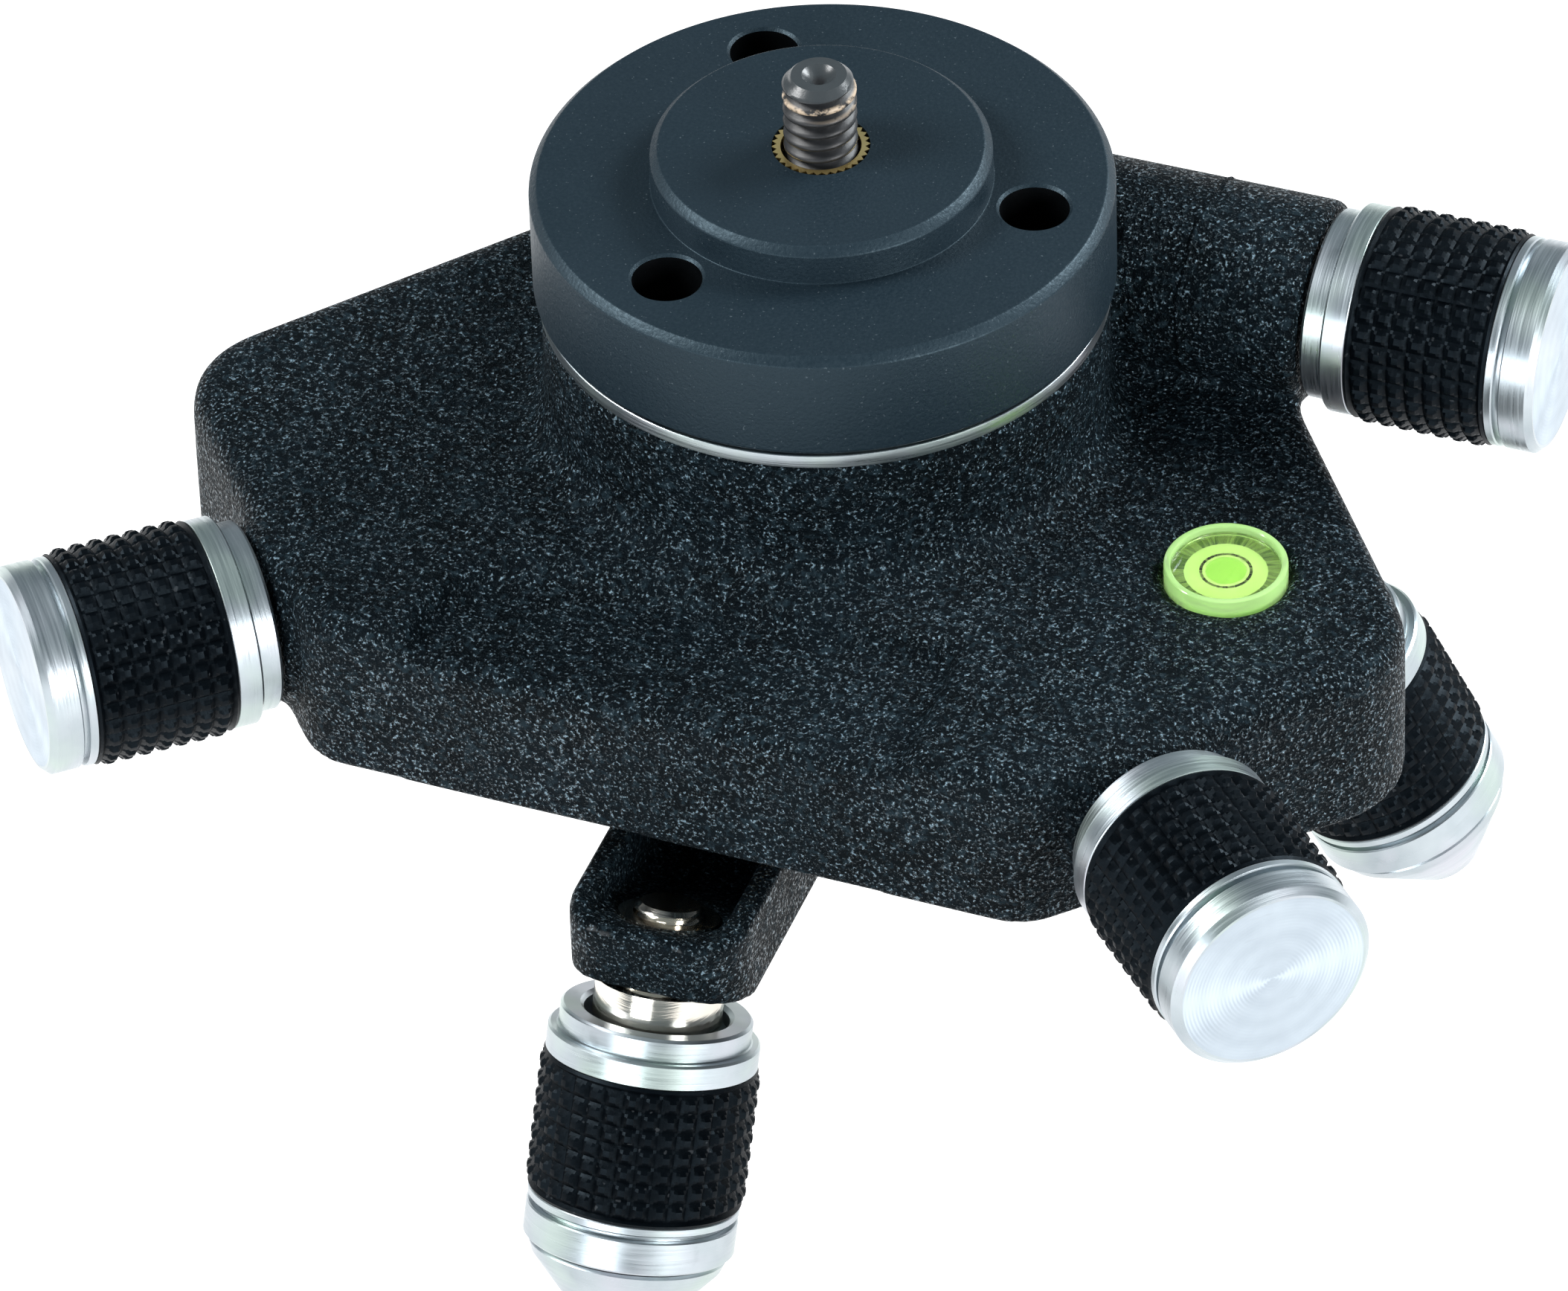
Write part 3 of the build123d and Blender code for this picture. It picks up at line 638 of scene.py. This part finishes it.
def close_end(bm, height, cup):
    """Close the rough ring of vertices at a height with a fan, dished by cup toward the middle."""
    verts = [v for v in bm.verts if abs(v.co.z - height) < ON_AXIS]
    ordered = sorted(verts, key=lambda v: (bearing(v), -v.co.xy.length))
    rim = []
    for vert in ordered:
        if not rim or abs(bearing(vert) - bearing(rim[-1])) > 1e-3:
            rim.append(vert)
    r = min(v.co.xy.length for v in rim)
    inner = []
    for vert in rim:
        p = vert.co.xy.normalized() * r * 0.62
        inner.append(bm.verts.new((p.x, p.y, height)))
    middle = bm.verts.new((0, 0, height - cup))
    for i in range(len(rim)):
        j = (i + 1) % len(rim)
        bm.faces.new((rim[i], rim[j], inner[j], inner[i]))
        bm.faces.new((inner[i], inner[j], middle))


def bake(obj):
    """Replace an object's mesh with its evaluated one and drop the modifiers."""
    graph = bpy.context.evaluated_depsgraph_get()
    mesh = bpy.data.meshes.new_from_object(obj.evaluated_get(graph))
    obj.modifiers.clear()
    obj.data = mesh


def cut(obj, cutters):
    """Subtract the cutters from obj and remove them."""
    for cutter in cutters:
        modifier = obj.modifiers.new("cut", "BOOLEAN")
        modifier.operation = "DIFFERENCE"
        modifier.solver = "EXACT"
        modifier.object = cutter
    bake(obj)
    for cutter in cutters:
        bpy.data.objects.remove(cutter)


def copy_node(node, name):
    """A free copy of a CAD node's mesh, to be reworked."""
    obj = bpy.data.objects.new(name, nodes[node].data.copy())
    obj.data.materials.clear()
    bpy.context.scene.collection.objects.link(obj)
    return obj


def cast(node, name, voxel, rounds, soft=None, soft_rounds=0):
    """Casting made from a CAD node: evenly meshed, with its edges and inner corners softened.

    Vertices for which soft gives a weight above zero are softened further."""
    obj = copy_node(node, name)
    remesh = obj.modifiers.new("remesh", "REMESH")
    remesh.mode = "VOXEL"
    remesh.voxel_size = voxel
    bake(obj)
    if soft:
        group = obj.vertex_groups.new(name="soft")
        for vert in obj.data.vertices:
            weight = soft(vert.co)
            if weight > 0:
                group.add([vert.index], weight, "REPLACE")
        extra = obj.modifiers.new("extra", "SMOOTH")
        extra.factor = 0.5
        extra.iterations = soft_rounds
        extra.vertex_group = "soft"
    soften = obj.modifiers.new("soften", "SMOOTH")
    soften.factor = 0.5
    soften.iterations = rounds
    thin = obj.modifiers.new("thin", "DECIMATE")
    thin.ratio = 0.5
    bake(obj)
    obj.vertex_groups.clear()
    return obj


# ---- the top -------------------------------------------------------------
def build_disc():
    """Turning disc with its raised boss and drilled holes, whose walls are painted darker as shade.
    """
    profile = rounded(
        [
            (INSERT_R, SEAT_Z),
            (BOSS_R - DISC_CHAMFER, SEAT_Z),
            (BOSS_R, SEAT_Z - DISC_CHAMFER),
            (BOSS_R, DISC_TOP),
            (DISC_R - DISC_CHAMFER, DISC_TOP),
            (DISC_R, DISC_TOP - DISC_CHAMFER),
            (DISC_R, DISC_BOTTOM + DISC_CHAMFER),
            (DISC_R - DISC_CHAMFER, DISC_BOTTOM),
            (INSERT_R, DISC_BOTTOM),
        ],
        0.12 * MM,
    )
    disc = lathe("pan_disc_body", profile, Matrix.Identity(4), 192)
    over = DISC_TOP + 1 * MM
    drill = [
        (0, DISC_TOP - HOLE_DEPTH),
        (HOLE_R, DISC_TOP - HOLE_DEPTH),
        (HOLE_R, DISC_TOP - HOLE_RIM),
        (HOLE_R + HOLE_RIM, DISC_TOP),
        (HOLE_R + HOLE_RIM, over),
        (0, over),
    ]
    cutters, places = [], []
    for k in range(HOLE_COUNT):
        a = math.radians(HOLE_AZ - 90) + k * 2 * math.pi / HOLE_COUNT
        place = Vector((math.cos(a), math.sin(a), 0)) * (HOLE_PCD / 2)
        places.append(place)
        cutters.append(lathe("drill", drill, Matrix.Translation(place), 64))
    cut(disc, cutters)
    finish_piece(disc, "pan", "dark_anodised", ["pan_disc"], 20)
    # Painted shade: the holes' walls get a near black material in place of the disc's anodising.
    disc.data.materials.append(MATERIALS["hole_painted_shade"])
    for face in disc.data.polygons:
        near = min((face.center.xy - place.xy).length for place in places)
        in_hole = near < HOLE_R * 1.02 and face.center.z < DISC_TOP - 0.3 * MM
        face.material_index = 1 if in_hole else 0


def build_insert():
    """Brass insert with a finely toothed rim, standing just below the seat."""
    around = INSERT_TEETH * 2
    bm = bmesh.new()
    loops = [[], [], [], []]
    for i in range(around):
        a = math.pi * i / INSERT_TEETH
        r = INSERT_R - (TOOTH_DEPTH if i % 2 else 0.0)
        c, s = math.cos(a), math.sin(a)
        heights = (INSERT_BOTTOM, INSERT_TOP, INSERT_TOP, INSERT_BOTTOM)
        for loop, reach, z in zip(loops, (r, r, INSERT_BORE, INSERT_BORE), heights):
            loop.append(bm.verts.new((reach * c, reach * s, z)))
    join_loops(bm, loops, closed=True)
    obj = new_object("insert_body", bm, Matrix.Identity(4))
    finish_piece(obj, "pan", "brass", ["brass_insert"], 25)


def build_stud():
    obj = threaded(
        "stud_body",
        STUD_R,
        STUD_BOTTOM,
        STUD_TOP,
        STUD_PITCH,
        STUD_THREAD,
        Matrix.Identity(4),
        64,
        STUD_LEAD,
        STUD_CUP,
    )
    finish_piece(obj, "pan", "stud_steel", ["mounting_stud"], 50)


def build_ring():
    """Bright ring between the turret and the disc."""
    profile = rounded(
        [
            (RING_IN_R, TURRET_TOP),
            (RING_R, TURRET_TOP),
            (RING_R, TURRET_TOP + RING_T),
            (RING_IN_R, TURRET_TOP + RING_T),
        ],
        0.15 * MM,
    )
    ring = lathe("thrust_ring_body", profile, Matrix.Identity(4), 192)
    finish_piece(ring, "head", "bright_aluminium", ["thrust_ring"], 30)


# ---- knobs ---------------------------------------------------------------
def knob_core(name, matrix, body, node, recess):
    """Two bright rings, the barrel under the grip and a thin ring; recess makes room for a bush."""
    start = BUSH_R + BUSH_GAP if recess else SHAFT_R
    mouth = 0.35 * MM
    edge = 0.25 * MM
    inner_r = GRIP_IN_R - 0.02 * MM
    thin_end = GRIP_END + THIN_RING_T
    profile = [
        (start, mouth if recess else 0.0),
        (start + mouth, 0),
        (SMALL_RING_R - edge, 0),
        (SMALL_RING_R, edge),
        (SMALL_RING_R, SMALL_RING_T - 0.1 * MM),
        (SMALL_RING_R + 0.15 * MM, SMALL_RING_T),
        (LARGE_RING_R - 0.2 * MM, SMALL_RING_T),
        (LARGE_RING_R, SMALL_RING_T + 0.2 * MM),
        (LARGE_RING_R, RING_END - 0.1 * MM),
        (LARGE_RING_R - 0.1 * MM, RING_END),
        (inner_r, RING_END),
        (inner_r, GRIP_END),
        (LARGE_RING_R - EASE, GRIP_END),
        (LARGE_RING_R, GRIP_END + EASE),
        (LARGE_RING_R, thin_end - EASE),
        (LARGE_RING_R - EASE, thin_end),
        (GROOVE_R, thin_end),
        (GROOVE_R, CORE_END),
        (CORE_BORE_R, CORE_END),
        (CORE_BORE_R, CORE_BORE_FROM),
        (start, CORE_BORE_FROM),
    ]
    obj = lathe(name, profile, matrix)
    finish_piece(obj, body, "bright_aluminium", [node], 30)


def knob_grip(name, matrix, body, node):
    """Rubber sleeve covered with small blunt square pyramids."""
    per = len(PYRAMID_SHAPE)
    around = PYRAMIDS_ROUND * per
    low, high = RING_END + 0.02 * MM, GRIP_END - 0.02 * MM
    field = high - low - 2 * GRIP_LIP
    down = PYRAMID_ROWS * per
    bead = 0.25 * MM
    # Each row's height, and its lift, or None where the pyramids give it.
    heights = [(low, 0.30), (low + bead, 0.55), (low + GRIP_LIP, 0.0)]
    for row in range(1, down):
        heights.append((low + GRIP_LIP + field * row / down, None))
    heights += [(high - GRIP_LIP, 0.0), (high - bead, 0.55), (high, 0.30)]
    base_r = GRIP_R - PYRAMID_H
    bm = bmesh.new()
    rows = []
    for index, (z, level) in enumerate(heights):
        row = []
        for i in range(around):
            a = 2 * math.pi * i / around
            lift = level
            if level is None:
                lift = min(PYRAMID_SHAPE[(index - 2) % per], PYRAMID_SHAPE[i % per])
            r = base_r + PYRAMID_H * lift
            row.append(bm.verts.new((r * math.cos(a), r * math.sin(a), z)))
        rows.append(row)
    for z in (high, low):
        row = []
        for i in range(around):
            a = 2 * math.pi * i / around
            row.append(bm.verts.new((GRIP_IN_R * math.cos(a), GRIP_IN_R * math.sin(a), z)))
        rows.append(row)
    join_loops(bm, rows, closed=True)
    obj = new_object(name, bm, matrix)
    finish_piece(obj, body, "rubber", [node], 20)


def knob_cap(name, matrix, body, node):
    """End band with a bright chamfer and a faced end."""
    band = [
        (CAP_IN_R, CORE_END + CAP_GAP),
        (LARGE_RING_R - EASE, CORE_END + CAP_GAP),
        (LARGE_RING_R, CORE_END + CAP_GAP + EASE),
        (LARGE_RING_R, KNOB_END - CAP_EDGE),
        (LARGE_RING_R - CAP_EDGE, KNOB_END),
        (CAP_IN_R, KNOB_END - 0.01 * MM),
    ]
    obj = lathe(name, band, matrix)
    finish_piece(obj, body, "bright_aluminium", [node], 25)
    face_r = LARGE_RING_R - CAP_EDGE
    back = CORE_END + 0.5 * MM
    face = [
        (0, back),
        (face_r - 0.3 * MM, back),
        (face_r - 0.02 * MM, KNOB_END - 0.03 * MM),
        (face_r - 0.25 * MM, KNOB_END),
        (1.2 * MM, KNOB_END - 0.03 * MM),
        (0, KNOB_END - 0.12 * MM),
    ]
    disc = lathe(name + "_face", face, matrix)
    finish_piece(disc, body, "faced", (), 25)


def foot_cap(name, matrix, body, node):
    """Plain end band of a foot's knob, round its screw."""
    edge = 0.2 * MM
    band = [
        (FOOT_SCREW_R, CORE_END + CAP_GAP),
        (LARGE_RING_R - EASE, CORE_END + CAP_GAP),
        (LARGE_RING_R, CORE_END + CAP_GAP + EASE),
        (LARGE_RING_R, KNOB_END - edge),
        (LARGE_RING_R - edge, KNOB_END),
        (FOOT_SCREW_R, KNOB_END),
    ]
    obj = lathe(name, band, matrix)
    finish_piece(obj, body, "bright_aluminium", [node], 25)


def build_knobs():
    left = radial(LEFT_AZ) * LEFT_OUT + Vector((0, 0, TILT_Z))
    right = radial(RIGHT_AZ) * RIGHT_OUT + sideways(RIGHT_AZ) * RIGHT_SHIFT
    right += Vector((0, 0, TILT_Z))
    places = (
        ("pan", "worm", along(WORM_FACE, Vector((1, 0, 0)))),
        ("tilt_left", "tilt_left", along(left, radial(LEFT_AZ))),
        ("tilt_right", "tilt_right", along(right, radial(RIGHT_AZ))),
    )
    for name, body, matrix in places:
        knob_core(name + "_core_body", matrix, body, name + "_knob_core", False)
        knob_grip(name + "_grip_body", matrix, body, name + "_knob_grip")
        knob_cap(name + "_cap_body", matrix, body, name + "_knob_cap")


# ---- feet ----------------------------------------------------------------
def foot_screw(name, matrix):
    screw = threaded(
        name + "_screw_body",
        FOOT_SCREW_R,
        -FOOT_SCREW_DOWN,
        FOOT_SCREW_UP,
        FOOT_PITCH,
        FOOT_THREAD,
        matrix @ Matrix.Rotation(math.pi, 4, "X"),
        40,
        0.5 * MM,
    )
    finish_piece(screw, name + "_knob", "nickel", [name + "_screw"], 50)


def foot_tip(name, matrix):
    """Blunt cone with a stem up the inside of the knob."""
    start = KNOB_END + TIP_GAP
    end = start + TIP_H
    profile = [
        (0, TIP_STEM_FROM),
        (TIP_STEM_R, TIP_STEM_FROM),
        (TIP_STEM_R, start),
        (TIP_R - 0.2 * MM, start),
        (TIP_R, start + 0.25 * MM),
        (TIP_R - 0.35 * MM, start + 1.2 * MM),
        (TIP_END_R + 0.9 * MM, end - 0.9 * MM),
        (TIP_END_R, end - 0.25 * MM),
        (TIP_END_R - 0.8 * MM, end),
        (0, end),
    ]
    tip = lathe(name + "_tip_body", profile, matrix)
    finish_piece(tip, name, "bright_aluminium", [name + "_tip"], 30)


def build_feet():
    for index in range(len(FOOT_AZ)):
        matrix = foot_matrix(index)
        name = f"foot_{index + 1}"
        knob_core(name + "_core_body", matrix, name + "_knob", name + "_core", True)
        knob_grip(name + "_grip_body", matrix, name + "_knob", name + "_grip")
        foot_cap(name + "_cap_body", matrix, name + "_knob", name + "_cap")
        foot_screw(name, matrix)
        foot_tip(name, matrix)


# ---- level ---------------------------------------------------------------
def vial_ring(name, in_r, out_r, height, radius, material):
    """Ring lying on the floor under the window, from height up to that floor."""
    profile = [(in_r, height), (out_r, height), (out_r, VIAL_FLOOR), (in_r, VIAL_FLOOR)]
    obj = lathe(name, rounded(profile, radius), Matrix.Translation(VIAL), 96)
    finish_piece(obj, "head", material, (), 35)


def build_level():
    """Bullseye level: green plastic body, fluid, clear window and a thin dark centre ring."""
    place = Matrix.Translation(VIAL)
    cup = rounded(
        [
            (VIAL_IN_R - 1.0 * MM, VIAL_CUP_FLOOR),
            (VIAL_IN_R, VIAL_CUP_FLOOR),
            (VIAL_IN_R, VIAL_UP),
            (VIAL_R, VIAL_UP),
            (VIAL_R, VIAL_CUP_BOTTOM),
            (VIAL_IN_R - 1.0 * MM, VIAL_CUP_BOTTOM),
        ],
        0.22 * MM,
    )
    obj = lathe("vial_cup_body", cup, place, 96)
    finish_piece(obj, "head", "vial_body", ["vial_cup"], 30)
    window_r = VIAL_IN_R - 0.02 * MM
    window = rounded(
        [
            (0, VIAL_FLOOR + 0.02 * MM),
            (window_r, VIAL_FLOOR + 0.02 * MM),
            (window_r, VIAL_UP - 0.50 * MM),
            (VIAL_IN_R * 0.7, VIAL_UP - 0.24 * MM),
            (VIAL_IN_R * 0.35, VIAL_UP - 0.08 * MM),
            (0, VIAL_UP - 0.03 * MM),
        ],
        0.15 * MM,
    )
    lens = lathe("vial_lens_body", window, place, 96)
    finish_piece(lens, "head", "clear", ["vial_lens"], 40)
    # Painted shade and reflection: a dark grey-green ring under the window's edge stands in for the
    # shade and reflection seen there.
    ledge_in, ledge_out = VIAL_IN_R - VIAL_LEDGE_W, VIAL_IN_R - 0.03 * MM
    low = VIAL_FLOOR - 0.3 * MM
    vial_ring("vial_shade_ring", ledge_in, ledge_out, low, 0.05 * MM, "vial_painted_shade")
    mark_in, low = VIAL_MARK_R - VIAL_MARK_W, VIAL_FLOOR - 0.2 * MM
    vial_ring("vial_mark", mark_in, VIAL_MARK_R, low, 0.04 * MM, "rubber")


# ---- castings and carried-over nodes --------------------------------------
def plate_weight(point):
    """How much softer the plate's edges and valley are than the turret's."""
    low, high, full = PLATE_TOP - 7 * MM, PLATE_TOP + 5.5 * MM, 1.5 * MM
    weight = min((point.z - low) / full, (high - point.z) / full, 1.0)
    from_barrel = math.hypot(point.y - WORM_FACE.y, point.z - WORM_FACE.z) - BARREL_R
    if point.x > 0 and point.y > 0:
        weight = min(weight, max(from_barrel / full, 0.0))
    return max(weight, 0.0)


def build_castings():
    voxel = 0.42 * MM
    rounds = 8
    soft_rounds = 40
    shell = cast("housing_shell", "housing_body", voxel, rounds, plate_weight, soft_rounds)
    finish_piece(shell, "head", "black_paint", ["housing_shell"], 0)
    spider = cast("spider_frame", "spider_body", voxel, rounds - 1)
    finish_piece(spider, "base", "arm_paint", ["spider_frame"], 0)


def build_seam():
    """Thin uneven parting line left by the mould, round the front of the worm barrel."""
    steps = 90
    across = 8
    seam_r = BARREL_R - 0.05 * MM
    bm = bmesh.new()
    rings = []
    for i in range(steps + 1):
        t = i / steps
        a = SEAM_START + (SEAM_END - SEAM_START) * t
        wobble = 0.22 * math.sin(7.3 * t) + 0.12 * math.sin(23 * t + 1.1)
        wobble += random.uniform(-0.05, 0.05)
        thick = (0.16 + random.uniform(0, 0.12)) * MM * min(1.0, 8 * t, 8 * (1 - t))
        outward = Vector((0, math.cos(a), math.sin(a)))
        middle = Vector((SEAM_X + wobble * MM, WORM_FACE.y, WORM_FACE.z)) + outward * seam_r
        ring = []
        for j in range(across):
            b = 2 * math.pi * j / across
            offset = Vector((1, 0, 0)) * math.cos(b) + outward * math.sin(b)
            ring.append(bm.verts.new(middle + offset * max(thick, 0.01 * MM)))
        rings.append(ring)
    join_loops(bm, rings, closed=False)
    bm.faces.new(rings[0])
    bm.faces.new(rings[-1])
    seam = new_object("barrel_seam", bm, Matrix.Identity(4))
    finish_piece(seam, "head", "black_paint", (), 60)


# Nodes that keep their CAD mesh, and their materials
CARRIED = {
    "tripod_insert": "brass",
    "tilt_post": "steel",
    "foot_bushes": "nickel",
    "gimbal_pins_lower": "steel",
    "gimbal_pins_upper": "steel",
    "gimbal_ring": "brass",
    "bearing_plate": "bright_aluminium",
    "worm_bushes": "brass",
    "bottom_cover": "black_paint",
    "tilt_left_bush": "brass",
    "tilt_right_bush": "brass",
    "vial_fluid": "vial_green",
    "vial_bubble": "clear",
    "pan_spindle": "steel",
    "worm_wheel": "brass",
    "pan_retainer": "steel",
    "worm_shaft": "steel",
    "tilt_left_screw": "steel",
    "tilt_right_screw": "steel",
    "tilt_left_pusher": "steel",
    "tilt_right_pusher": "steel",
}


def dress_carried():
    for node, material in CARRIED.items():
        data = nodes[node].data
        data.materials.clear()
        data.materials.append(MATERIALS[material])


# ---- stage ---------------------------------------------------------------
CAMERA_AZ = math.radians(21.5)
CAMERA_EL = math.radians(40.3)
CAMERA_ROLL = math.radians(-2.0)
CAMERA_FAR = 1.0
SENSOR_W = 36.0
# Width of the view at the disc, and how far right of and above its middle the disc stands
VIEW_W = 133.24905 * MM
DISC_RIGHT = 3.223767 * MM
DISC_UP = 39.823009 * MM

FLOOR_HALF = 3.0
FLOOR_GAP = 0.2 * MM
AIM = (0, 0, -0.03)
# Name, place, size, power and colour of each light
LIGHTS = (
    ("key", (-0.50, -0.20, 0.50), (0.30, 0.30), 7.0, (1, 1, 1)),
    ("front", (-0.15, -0.85, 0.12), (0.50, 0.25), 3.0, (0.94, 0.97, 1.0)),
    ("fill", (0.70, -0.36, 0.20), (0.30, 0.30), 6.0, (1, 1, 1)),
    ("back", (0.40, 0.45, 0.42), (0.35, 0.25), 7.0, (0.92, 0.97, 1.0)),
)


def build_camera():
    """Long lens from the front, above the horizon, with the disc high in the picture."""
    ahead = Vector((-math.sin(CAMERA_AZ), math.cos(CAMERA_AZ), 0))
    right = Vector((math.cos(CAMERA_AZ), math.sin(CAMERA_AZ), 0))
    look = ahead * math.cos(CAMERA_EL) - Vector((0, 0, math.sin(CAMERA_EL)))
    up = ahead * math.sin(CAMERA_EL) + Vector((0, 0, math.cos(CAMERA_EL)))
    cos_roll, sin_roll = math.cos(CAMERA_ROLL), math.sin(CAMERA_ROLL)
    x_axis = right * cos_roll + up * sin_roll
    y_axis = up * cos_roll - right * sin_roll
    target = Vector((0, 0, DISC_TOP))
    data = bpy.data.cameras.new("camera")
    data.sensor_width = SENSOR_W
    data.lens = CAMERA_FAR * SENSOR_W / VIEW_W
    data.clip_start = 0.05
    data.clip_end = 20
    camera = bpy.data.objects.new("camera", data)
    bpy.context.scene.collection.objects.link(camera)
    m = Matrix((x_axis, y_axis, -look)).transposed().to_4x4()
    m.translation = target - look * CAMERA_FAR - x_axis * DISC_RIGHT - y_axis * DISC_UP
    camera.matrix_world = m
    bpy.context.scene.camera = camera


def area_light(name, place, size, power, colour):
    """Rectangular light that faces the object."""
    data = bpy.data.lights.new(name, "AREA")
    data.shape = "RECTANGLE"
    data.size, data.size_y = size
    data.energy = power
    data.color = colour
    light = bpy.data.objects.new(name, data)
    bpy.context.scene.collection.objects.link(light)
    light.location = place
    light.rotation_mode = "QUATERNION"
    light.rotation_quaternion = (Vector(AIM) - Vector(place)).to_track_quat("-Z", "Y")


def build_floor():
    """White paper that glows a little, so that it stays pale under soft light."""
    floor_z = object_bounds()[0].z - FLOOR_GAP
    bm = bmesh.new()
    corners = []
    for x, y in ((-1, -1), (1, -1), (1, 1), (-1, 1)):
        corners.append(bm.verts.new((x * FLOOR_HALF, y * FLOOR_HALF, floor_z)))
    bm.faces.new(corners)
    floor = new_object("floor", bm, Matrix.Identity(4))
    g = Graph("paper")
    cloud = g.spread(g.noise(6, 2.0, 0.5), 0.3, 0.7)
    base = g.mix(cloud, (0.14, 0.14, 0.14), (0.15, 0.15, 0.15))
    g.set(Base_Color=base, Roughness=0.9)
    paper = g.set(Emission_Color=(1, 1, 1, 1), Emission_Strength=1.20)
    floor.data.materials.append(paper)


def build_stage():
    build_floor()
    world = bpy.data.worlds.new("world")
    bpy.context.scene.world = world
    world.use_nodes = True
    background = world.node_tree.nodes["Background"]
    background.inputs["Color"].default_value = (0.80, 0.93, 1.0, 1)
    background.inputs["Strength"].default_value = 0.30
    for light in LIGHTS:
        area_light(*light)


build_disc()
build_insert()
build_stud()
build_ring()
build_knobs()
build_feet()
build_level()
build_castings()
build_seam()
dress_carried()
build_camera()
build_stage()
scene = bpy.context.scene
scene.view_settings.view_transform = "Standard"
